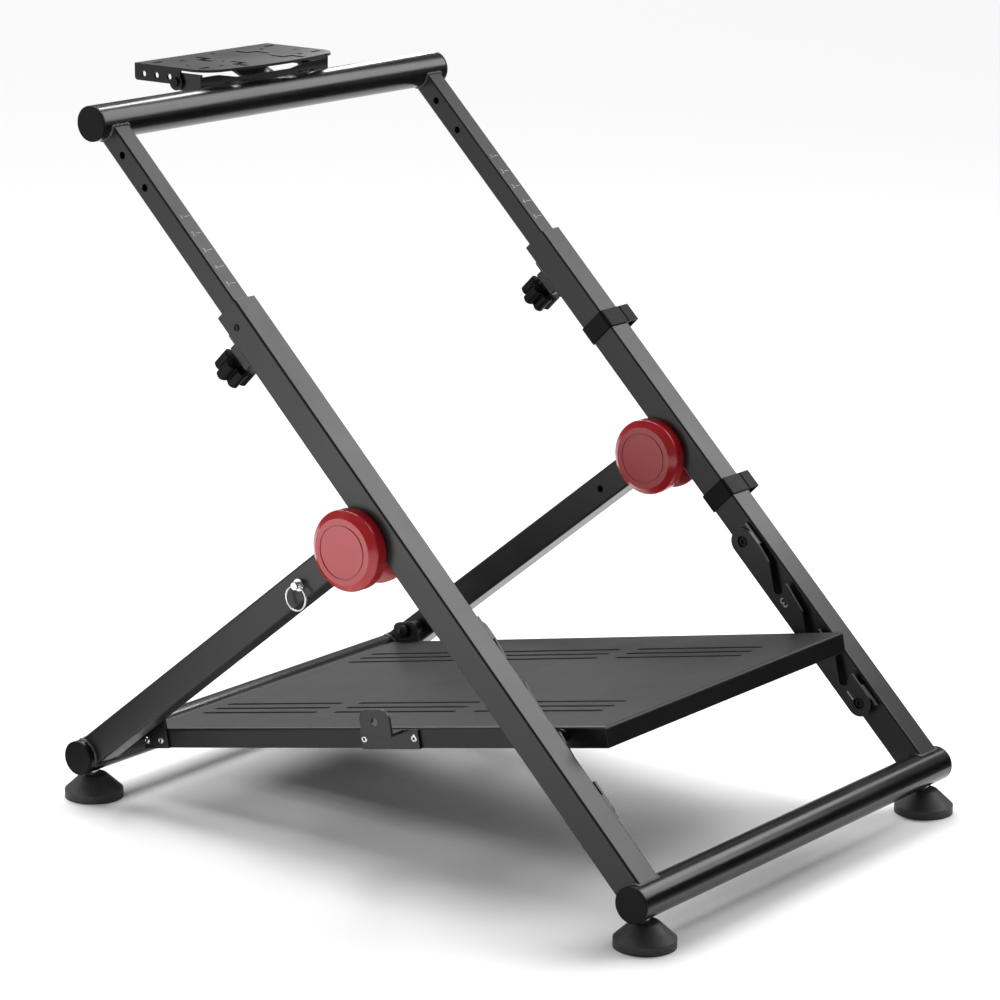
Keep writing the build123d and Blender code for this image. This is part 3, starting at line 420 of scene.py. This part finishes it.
@dataclass
class Paints:
    """The materials, made once from the finishes."""

    effects: Effects
    made: dict[Look, bpy.types.Material] = field(default_factory=dict)

    def get(self, look: Look) -> bpy.types.Material:
        """The material of a finish, made on first use.

        Args:
            look: the finish.

        Returns:
            Its material.
        """
        if look not in self.made:
            self.made[look] = look.value.build(self.effects)
        return self.made[look]


@dataclass
class Maker:
    """Makes small mesh pieces and puts them on the frame's bodies."""

    paints: Paints
    sharp_angle: float = 32.0

    def piece(self, name: str, mesh: bmesh.types.BMesh, look: Look, body: str,
              slot: Slot | None = None) -> bpy.types.Object:
        """Turn a mesh into a piece that rides on a body.

        Args:
            name: the piece's name.
            mesh: its shape in the row frame.
            look: its finish.
            body: the body that it moves with.
            slot: the record's slot, if one fits; not used.

        Returns:
            The new object.
        """
        bmesh.ops.recalc_face_normals(mesh, faces=mesh.faces)
        data = bpy.data.meshes.new(name)
        mesh.to_mesh(data)
        mesh.free()
        data.shade_smooth()
        data.set_sharp_from_angle(angle=math.radians(self.sharp_angle))
        data.materials.append(self.paints.get(look))
        thing = bpy.data.objects.new(name, data)
        bpy.context.scene.collection.objects.link(thing)
        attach(thing, body)
        LOG.info("piece %s on %s, %d faces", name, body, len(data.polygons))
        return thing

    @staticmethod
    def ring(mesh: bmesh.types.BMesh, radius: float, height: float, place: Matrix,
             turns: int) -> list[bmesh.types.BMVert]:
        """Add the points of a circle about local Z.

        Args:
            mesh: where they go.
            radius: the circle's radius.
            height: its height along local Z.
            place: local to row frame.
            turns: how many points.

        Returns:
            The points in order.
        """
        points = []
        for k in range(turns):
            a = math.tau * k / turns
            spot = Vector((radius * math.cos(a), radius * math.sin(a), height))
            points.append(mesh.verts.new(place @ spot))
        return points

    @staticmethod
    def lathe(mesh: bmesh.types.BMesh, profile: Points, place: Matrix, turns: int = 32) -> None:
        """Add a turned shape about local Z.

        Args:
            mesh: where it goes.
            profile: radius and height of each point, from the axis out and back.
            place: local to row frame.
            turns: segments round the axis.
        """
        rings = []
        for radius, height in profile:
            if radius < ON_AXIS:
                rings.append([mesh.verts.new(place @ Vector((0, 0, height)))])
            else:
                rings.append(Maker.ring(mesh, radius, height, place, turns))
        for low, high in zip(rings, rings[1:]):
            for k in range(turns):
                j = k + 1
                quad = [low[k % len(low)], low[j % len(low)], high[j % len(high)], high[k % len(high)]]
                corners = list(dict.fromkeys(quad))
                if len(corners) > 2:
                    mesh.faces.new(corners)

    @staticmethod
    def prism(mesh: bmesh.types.BMesh, outline: Points, depth: float, place: Matrix) -> None:
        """Add a flat shape of some thickness.

        Args:
            mesh: where it goes.
            outline: its corners in local X and Y.
            depth: thickness along local Z.
            place: local to row frame.
        """
        low = [mesh.verts.new(place @ Vector((x, y, 0))) for x, y in outline]
        high = [mesh.verts.new(place @ Vector((x, y, depth))) for x, y in outline]
        mesh.faces.new(list(reversed(low)))
        mesh.faces.new(high)
        count = len(outline)
        for k in range(count):
            mesh.faces.new((low[k], low[(k + 1) % count], high[(k + 1) % count], high[k]))

    @staticmethod
    def bead(mesh: bmesh.types.BMesh, path: list[Vector], radius: float, ripple: float,
             closed: bool) -> None:
        """Add a weld bead: a rippled tube along a path.

        Args:
            mesh: where it goes.
            path: points along the seam.
            radius: the bead's radius.
            ripple: how much the radius varies, as a share.
            closed: whether the path closes on itself.
        """
        sides = BEAD_SIDES
        count = len(path)
        rings = []
        for k, point in enumerate(path):
            after = path[(k + 1) % count] if closed or k + 1 < count else point
            before = path[k - 1] if closed or k else point
            along = (after - before).normalized()
            across = along.orthogonal().normalized()
            up = along.cross(across)
            r = radius * (1 + ripple * math.sin(BEAD_FAST * k) + 0.5 * ripple * math.sin(BEAD_SLOW * k + 1))
            ring = []
            for j in range(sides):
                a = math.tau * j / sides
                ring.append(mesh.verts.new(point + (across * math.cos(a) + up * math.sin(a)) * r))
            rings.append(ring)
        pairs = list(zip(rings, rings[1:] + (rings[:1] if closed else [])))
        for low, high in pairs if closed else pairs[:count - 1]:
            shift = min(range(sides), key=lambda d: sum(
                (low[j].co - high[(j + d) % sides].co).length for j in range(sides)))
            for j in range(sides):
                i = (j + 1) % sides
                mesh.faces.new((low[j], low[i], high[(i + shift) % sides], high[(j + shift) % sides]))
        if not closed:
            mesh.faces.new(list(reversed(rings[0])))
            mesh.faces.new(rings[-1])

    @staticmethod
    def words(mesh: bmesh.types.BMesh, text: str, size: float, depth: float, place: Matrix) -> None:
        """Add a plain number with a little thickness, centred on local zero.

        Args:
            mesh: where it goes.
            text: the characters.
            size: their height.
            depth: how far they stand off.
            place: local to row frame.
        """
        curve = bpy.data.curves.new("number", "FONT")
        curve.body = text
        curve.size = size / DIGIT_SHARE
        curve.extrude = depth / 2
        curve.align_x = "CENTER"
        curve.align_y = "CENTER"
        thing = bpy.data.objects.new("number", curve)
        bpy.context.scene.collection.objects.link(thing)
        bpy.context.view_layer.update()
        graph = bpy.context.evaluated_depsgraph_get()
        flat = bpy.data.meshes.new_from_object(thing.evaluated_get(graph))
        flat.transform(place)
        mesh.from_mesh(flat)
        bpy.data.objects.remove(thing)
        bpy.data.curves.remove(curve)
        bpy.data.meshes.remove(flat)


@dataclass
class CadSkin:
    """Gives every CAD node its finish."""

    paints: Paints
    looks: dict[str, Look] = field(default_factory=lambda: {
        "front_bar": Look.BAR, "rear_bar": Look.BAR, "top_bar": Look.BAR,
        "pedal_plate": Look.PLATE, "wheel_plate": Look.PLATE,
    })
    by_slot: dict[str, Look] = field(default_factory=lambda: {
        Slot.COAT.value: Look.COAT, Slot.RED.value: Look.RED, Slot.MOULDING.value: Look.MOULDING,
        Slot.RUBBER.value: Look.RUBBER, Slot.STEEL.value: Look.STEEL, Slot.DARK.value: Look.BOLT,
    })

    def build(self) -> None:
        """Dress all nodes."""
        slots = {row["node"]: row["material_slot"] for row in frame["record"]["subparts"]}
        for name, thing in frame["nodes"].items():
            look = self.looks.get(name, self.by_slot[slots[name]])
            thing.data.materials.clear()
            thing.data.materials.append(self.paints.get(look))
            LOG.info("node %s dressed as %s", name, look.value.name)


@dataclass
class FrameWelds:
    """Weld beads where square tubes meet round bars."""

    maker: Maker
    layout: Layout
    radius: float = 0.0017
    ripple: float = 0.22
    steps: int = 16

    def build(self) -> None:
        """Add the beads at the front, rear and top bars."""
        lay = self.layout
        front = Vector((0, lay.front_y, lay.bar_height))
        rear = Vector((0, lay.rear_y, lay.bar_height))
        top = lay.leg(0, lay.top_along)
        self._pair("front_welds", front, lay.leg_dir, lay.leg_normal, lay.leg_half, "main_frame")
        self._pair("rear_welds", rear, lay.rear_dir, lay.rear_normal, lay.leg_half, "rear_frame")
        self._pair("top_welds", top, -lay.leg_dir, lay.leg_normal, lay.inner_half, "upper_frame")

    def _pair(self, name: str, centre: Vector, along: Vector, normal: Vector, half: float,
              body: str) -> None:
        """Beads round both tubes of one bar.

        Args:
            name: the piece's name.
            centre: a point on the bar's axis.
            along: the tubes' direction away from the bar.
            normal: across the tubes, square to X.
            half: half the tube's width.
            body: the body that carries it.
        """
        mesh = bmesh.new()
        for side in Side:
            seam = self._seam(centre, along, normal, half, side.value * self.layout.leg_x)
            self.maker.bead(mesh, seam, self.radius, self.ripple, True)
        self.maker.piece(name, mesh, Look.WELD, body, Slot.COAT)

    def _seam(self, centre: Vector, along: Vector, normal: Vector, half: float,
              x: float) -> list[Vector]:
        """Points round one tube where it meets its bar.

        Args:
            centre: a point on the bar's axis.
            along: the tube's direction away from the bar.
            normal: across the tube, square to X.
            half: half the tube's width.
            x: the tube's place across the stand.

        Returns:
            The points in order, the last next to the first.
        """
        points = []
        corners = [(-1, -1), (1, -1), (1, 1), (-1, 1)]
        for k, (ax, an) in enumerate(corners):
            bx, bn = corners[(k + 1) % len(corners)]
            for j in range(self.steps):
                f = j / self.steps
                dx, n = half * (ax + (bx - ax) * f), half * (an + (bn - an) * f)
                reach = math.sqrt(self.layout.bar_radius ** 2 - n * n)
                points.append(centre + Vector((x + dx, 0, 0)) + normal * n + along * reach)
        return points


@dataclass
class LegTrim:
    """Screws, strip bolts and printed numbers of the main legs."""

    maker: Maker
    layout: Layout
    screw_along: float = 0.7206
    screw_off: float = -0.002
    screw_profile: Points = ((0, 0.0004), (0.0012, 0.0004), (0.0014, 0.0012), (0.0033, 0.0012),
                             (0.0038, 0.0006), (0.0038, -0.0005))
    strip_bolts: tuple[float, float] = (0.097, 0.318)
    bolt_sunk: float = 0.003
    bolt_off: float = -0.003
    bolt_profile: Points = ((0, 0.0002), (0.0024, 0.0002), (0.0024, 0.0021), (0.0048, 0.0021),
                            (0.0053, 0.0015), (0.0053, 0))
    strip_numbers: tuple[tuple[str, float], ...] = (("1", 0.1105), ("2", 0.1745), ("3", 0.2365))
    number_off: float = -0.006
    number_size: float = 0.0115
    number_depth: float = 0.00016

    def build(self) -> None:
        """Add the legs' small pieces."""
        lay = self.layout
        screws, bolts, numbers = bmesh.new(), bmesh.new(), bmesh.new()
        for side in Side:
            k = side.value
            out = Vector((k, 0, 0))
            inward = -out
            head = lay.leg(k * (lay.leg_x + lay.leg_half), self.screw_along, self.screw_off)
            place = axes(head, lay.leg_normal.cross(out), lay.leg_normal, out)
            self.maker.lathe(screws, self.screw_profile, place)
            for s in self.strip_bolts:
                seat = lay.leg(k * (lay.strip_x + self.bolt_sunk), s, self.bolt_off)
                place = axes(seat, lay.leg_normal.cross(inward), lay.leg_normal, inward)
                self.maker.lathe(bolts, self.bolt_profile, place)
            for text, s in self.strip_numbers:
                spot = lay.leg(k * lay.strip_x, s, self.number_off)
                place = axes(spot, lay.leg_normal * k, -lay.leg_dir, inward)
                self.maker.words(numbers, text, self.number_size, self.number_depth, place)
        self.maker.piece("leg_screws", screws, Look.BOLT, "main_frame", Slot.COAT)
        self.maker.piece("strip_bolts", bolts, Look.BOLT, "main_frame", Slot.COAT)
        self.maker.piece("notch_numbers", numbers, Look.INK, "main_frame")


@dataclass
class HeightScale:
    """Ticks and numbers printed on the inner tubes."""

    maker: Maker
    layout: Layout
    marks: tuple[float, ...] = (0.8534, 0.8313, 0.8092, 0.7871, 0.7650)
    tick: Points = ((-0.0005, -0.0003), (0.0075, -0.0003), (0.0075, 0.0003), (-0.0005, 0.0003))
    tick_depth: float = 0.00006
    number_x: float = -0.0042
    number_size: float = 0.0052
    number_depth: float = 0.00012

    def build(self) -> None:
        """Print the scale on both tubes."""
        lay = self.layout
        mesh = bmesh.new()
        beside = Matrix.Translation((self.number_x, 0, 0))
        for side in Side:
            for count, s in enumerate(self.marks, 1):
                spot = lay.leg(side.value * lay.leg_x, s, lay.inner_half)
                place = axes(spot, Vector((-1, 0, 0)), lay.leg_dir, lay.leg_normal)
                self.maker.prism(mesh, self.tick, self.tick_depth, place)
                self.maker.words(mesh, str(count), self.number_size, self.number_depth, place @ beside)
        self.maker.piece("height_scale", mesh, Look.INK, "upper_frame")


@dataclass
class PedalTrim:
    """Rivets that hold the lugs and the ear to the pedal plate, and the pivot bolts' sockets."""

    maker: Maker
    layout: Layout
    bracket_x: float = 0.223
    flange_inner_x: float = 0.218
    lug_spots: Points = ((-0.6275, -0.013), (-0.607, -0.013))
    ear_spots: Points = ((-0.3144, -0.0116), (-0.2469, -0.011))
    rivet_profile: Points = ((0, -0.0005), (0.0013, -0.0005), (0.0015, 0.0009), (0.0022, 0.0013),
                             (0.0032, 0.0011), (0.0039, 0.0004), (0.004, 0))
    rivet_turns: int = 28
    pivot: tuple[float, float] = (-0.302359, 0.088447)
    pivot_head_x: float = 0.216
    collar: Points = ((0.0055, 0.0012), (0.0068, 0.0006), (0.0072, -0.0002))
    collar_turns: int = 24
    socket_sides: int = 6
    socket_radius: float = 0.0029
    socket_floor: float = 0.0002

    def build(self) -> None:
        """Add the rivets and sockets on both sides."""
        rivets, sockets = bmesh.new(), bmesh.new()
        for side in Side:
            out = Vector((side.value, 0, 0))
            spots = self.lug_spots + (self.ear_spots if side is Side.RIGHT else ())
            for t, n in spots:
                self._rivet(rivets, self.layout.pedal(side.value * self.bracket_x, t, n), out)
                self._rivet(rivets, self.layout.pedal(side.value * self.flange_inner_x, t, n), -out)
            self._socket(sockets, Vector((side.value * self.pivot_head_x, *self.pivot)), -out)
        self.maker.piece("pedal_rivets", rivets, Look.STEEL, "pedal_plate", Slot.STEEL)
        self.maker.piece("pivot_sockets", sockets, Look.BOLT, "rear_frame", Slot.DARK)

    def _rivet(self, mesh: bmesh.types.BMesh, spot: Vector, out: Vector) -> None:
        """One tubular rivet head standing off a face.

        Args:
            mesh: where it goes.
            spot: its centre on the face.
            out: direction off the face.
        """
        place = axes(spot, UP.cross(out), UP, out)
        self.maker.lathe(mesh, self.rivet_profile, place, self.rivet_turns)

    def _socket(self, mesh: bmesh.types.BMesh, spot: Vector, out: Vector) -> None:
        """Rounded collar with a six-sided socket on a bolt's head.

        Args:
            mesh: where it goes.
            spot: the head's centre.
            out: direction off the head.
        """
        place = axes(spot, UP.cross(out), UP, out)
        turns, sides = self.collar_turns, self.socket_sides
        rim = [self.maker.ring(mesh, radius, height, place, turns) for radius, height in self.collar]
        edge = self.maker.ring(mesh, self.socket_radius, self.collar[0][1], place, sides)
        floor = self.maker.ring(mesh, self.socket_radius, self.socket_floor, place, sides)
        for low, high in zip(rim[1:], rim):
            for k in range(turns):
                j = (k + 1) % turns
                mesh.faces.new((low[k], low[j], high[j], high[k]))
        share = turns // sides
        for k in range(sides):
            j = (k + 1) % sides
            arc = [rim[0][i % turns] for i in range(share * k, share * (k + 1) + 1)]
            mesh.faces.new(arc + [edge[j], edge[k]])
            mesh.faces.new((edge[k], edge[j], floor[j], floor[k]))
        mesh.faces.new(floor)


@dataclass
class BracketWelds:
    """Short weld beads that hold the wheel bracket to the top bar."""

    maker: Maker
    layout: Layout
    front_behind: float = 0.0085
    front_radius: float = 0.0019
    back_behind: float = 0.0122
    back_radius: float = 0.0017
    ripple: float = 0.25
    steps: int = 12
    spots: Points = ((0.094, 0.104), (0.046, 0.062), (0.018, 0.034), (-0.073, -0.057),
                     (-0.095, -0.079))

    def build(self) -> None:
        """Add the beads in front of and behind the bracket's wall."""
        top = self.layout.leg(0, self.layout.top_along)
        front, back = bmesh.new(), bmesh.new()
        rows = ((front, self.front_behind, self.front_radius), (back, self.back_behind, self.back_radius))
        for low, high in self.spots:
            for mesh, behind, radius in rows:
                rise = math.sqrt(self.layout.bar_radius ** 2 - behind ** 2)
                path = [top + Vector((low + (high - low) * k / self.steps, -behind, rise))
                        for k in range(self.steps + 1)]
                self.maker.bead(mesh, path, radius, self.ripple, False)
        self.maker.piece("bracket_welds_front", front, Look.WELD, "upper_frame", Slot.COAT)
        self.maker.piece("bracket_welds_back", back, Look.WELD, "upper_frame", Slot.COAT)


@dataclass(frozen=True)
class Softbox:
    """A soft lamp beside the stand.

    Attributes:
        name: the lamp's name.
        at: where it hangs.
        aim: the point it faces.
        power: its power in watts.
        size: its width and height in metres.
    """

    name: str
    at: Triple
    aim: Triple
    power: float
    size: tuple[float, float]


@dataclass
class Studio:
    """White floor, soft light and the photo's camera."""

    camera_at: Triple = (3.188, 2.41022, 1.3454)
    azimuth: float = 127.06
    elevation: float = 14.13
    roll: float = 0.61
    lens: float = 137.98
    sensor: float = 36.0
    far_clip: float = 100.0
    room_light: float = 0.16
    floor_half: float = 40.0
    floor_depth: float = 0.01
    floor_tone: float = 0.93
    flag_tone: float = 0.01
    flag_depth: float = 0.001
    board: Points = ((-1.1, 0.0), (1.1, 0.0), (1.1, 0.5), (-0.1, 0.62), (-0.35, 1.15), (-1.1, 1.2))
    board_at: Triple = (-1.25, 1.35, 0.004)
    board_along: Triple = (0.633, 0.774, 0)
    board_faces: Triple = (0.774, -0.633, 0)
    cloth: Points = ((-2.2, -0.05), (-0.5, -0.05), (-0.5, 0.5), (0.4, 0.55), (0.4, 1.6), (-2.2, 1.6))
    back_cloth: Points = ((0.05, -0.6), (0.5, -1.15), (1.05, -1.15), (0.95, -0.75), (0.45, -0.45),
                          (0.05, -0.45))
    sun_towards: Triple = (-0.3, -0.5, 0.81)
    sun_away: float = 4.0
    sun_strength: float = 3.3
    sun_angle: float = 50.0
    softboxes: tuple[Softbox, ...] = (
        Softbox("left_box", (-1.97, 1.08, 2.05), (0, 0, 0.4), 54.0, (1.8, 2.3)),
        Softbox("top_strip", (-0.46, -0.52, 1.07), (0, -0.317, 0.748), 4.0, (0.12, 0.75)),
        Softbox("right_panel", (1.25, -0.45, 0.3), (0, -0.45, 0.3), 2.6, (1.0, 0.6)),
        Softbox("right_fill", (2.0, -1.6, 1.6), (0.2, 0, 0.4), 8.0, (1.0, 1.0)),
    )

    def build(self) -> None:
        """Set up the stage."""
        self._world()
        self._floor()
        self._flags()
        self._lights()
        self._camera()
        settings = bpy.context.scene.view_settings
        settings.view_transform = "Standard"

    def _world(self) -> None:
        """A plain grey room."""
        world = bpy.data.worlds.new("studio")
        bpy.context.scene.world = world
        world.use_nodes = True
        sky = world.node_tree.nodes["Background"]
        sky.inputs["Color"].default_value = (1, 1, 1, 1)
        sky.inputs["Strength"].default_value = self.room_light

    @staticmethod
    def _matte(name: str, tone: float, roughness: float, specular: float) -> bpy.types.Material:
        """Make a plain material for the stage.

        Args:
            name: the material's name.
            tone: its grey.
            roughness: its roughness.
            specular: its specular level.

        Returns:
            The material.
        """
        paint = bpy.data.materials.new(name)
        paint.use_nodes = True
        shader = paint.node_tree.nodes["Principled BSDF"]
        shader.inputs["Base Color"].default_value = (tone, tone, tone, 1)
        shader.inputs["Roughness"].default_value = roughness
        shader.inputs["Specular IOR Level"].default_value = specular
        return paint

    @staticmethod
    def _slab(name: str, outline: Points, depth: float, place: Matrix,
              paint: bpy.types.Material) -> bpy.types.Object:
        """Make a flat piece of the stage.

        Args:
            name: its name.
            outline: its corners in local X and Y.
            depth: its thickness along local Z.
            place: local to row frame.
            paint: its material.

        Returns:
            The new object.
        """
        mesh = bmesh.new()
        Maker.prism(mesh, outline, depth, place)
        data = bpy.data.meshes.new(name)
        mesh.to_mesh(data)
        mesh.free()
        data.materials.append(paint)
        thing = bpy.data.objects.new(name, data)
        bpy.context.scene.collection.objects.link(thing)
        LOG.info("stage piece %s", name)
        return thing

    def _floor(self) -> None:
        """Pale floor that keeps the stand's shadow."""
        half = self.floor_half
        outline = ((-half, -half), (half, -half), (half, half), (-half, half))
        place = Matrix.Translation((0, 0, -self.floor_depth))
        paint = self._matte("floor_white", self.floor_tone, roughness=0.9, specular=0.1)
        floor = self._slab("floor", outline, self.floor_depth, place, paint)

    def _flags(self) -> None:
        """Dark board and dark cloths beside the stand, which show only in reflections."""
        paint = self._matte("flag_black", self.flag_tone, roughness=1.0, specular=0.0)
        stands = axes(Vector(self.board_at), Vector(self.board_along), UP, Vector(self.board_faces))
        lies = Matrix.Translation((0, 0, self.flag_depth))
        sheets = (("dark_board", self.board, stands), ("dark_cloth", self.cloth, lies),
                  ("back_cloth", self.back_cloth, lies))
        for name, outline, place in sheets:
            flag = self._slab(name, outline, self.flag_depth, place, paint)
            flag.visible_camera = flag.visible_diffuse = flag.visible_shadow = False

    def _lights(self) -> None:
        """Soft light from above and soft boxes round the stand."""
        sun = bpy.data.lights.new("overhead", "SUN")
        sun.energy = self.sun_strength
        sun.angle = math.radians(self.sun_angle)
        self._aimed(sun, Vector(self.sun_towards) * self.sun_away, Vector((0, 0, 0)))
        for box in self.softboxes:
            lamp = bpy.data.lights.new(box.name, "AREA")
            lamp.shape = "RECTANGLE"
            lamp.energy = box.power
            lamp.size, lamp.size_y = box.size
            self._aimed(lamp, Vector(box.at), Vector(box.aim))

    @staticmethod
    def _aimed(lamp: bpy.types.Light, at: Vector, aim: Vector) -> None:
        """Put a light in the scene.

        Args:
            lamp: the light.
            at: where it hangs.
            aim: the point it faces.
        """
        thing = bpy.data.objects.new(lamp.name, lamp)
        thing.location = at
        thing.rotation_euler = (aim - at).to_track_quat("-Z", "Y").to_euler()
        bpy.context.scene.collection.objects.link(thing)
        LOG.info("light %s", lamp.name)

    def _camera(self) -> None:
        """Put the camera where the photo was taken from."""
        a, e, r = (math.radians(v) for v in (self.azimuth, self.elevation, self.roll))
        back = Vector((math.sin(a) * math.cos(e), -math.cos(a) * math.cos(e), math.sin(e)))
        right = UP.cross(back).normalized()
        up = back.cross(right)
        data = bpy.data.cameras.new("camera")
        data.lens = self.lens
        data.sensor_width = self.sensor
        data.clip_end = self.far_clip
        thing = bpy.data.objects.new("camera", data)
        thing.matrix_world = axes(Vector(self.camera_at), right * math.cos(r) + up * math.sin(r),
                                  up * math.cos(r) - right * math.sin(r), back)
        bpy.context.scene.collection.objects.link(thing)
        bpy.context.scene.camera = thing


def main() -> None:
    """Dress the frame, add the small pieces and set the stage."""
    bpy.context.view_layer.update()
    layout = Layout()
    maker = Maker(Paints(Effects()))
    CadSkin(maker.paints).build()
    trims = (FrameWelds(maker, layout), LegTrim(maker, layout), HeightScale(maker, layout),
             PedalTrim(maker, layout), BracketWelds(maker, layout))
    for trim in trims:
        trim.build()
    Studio().build()


if __name__ == "__main__":
    main()
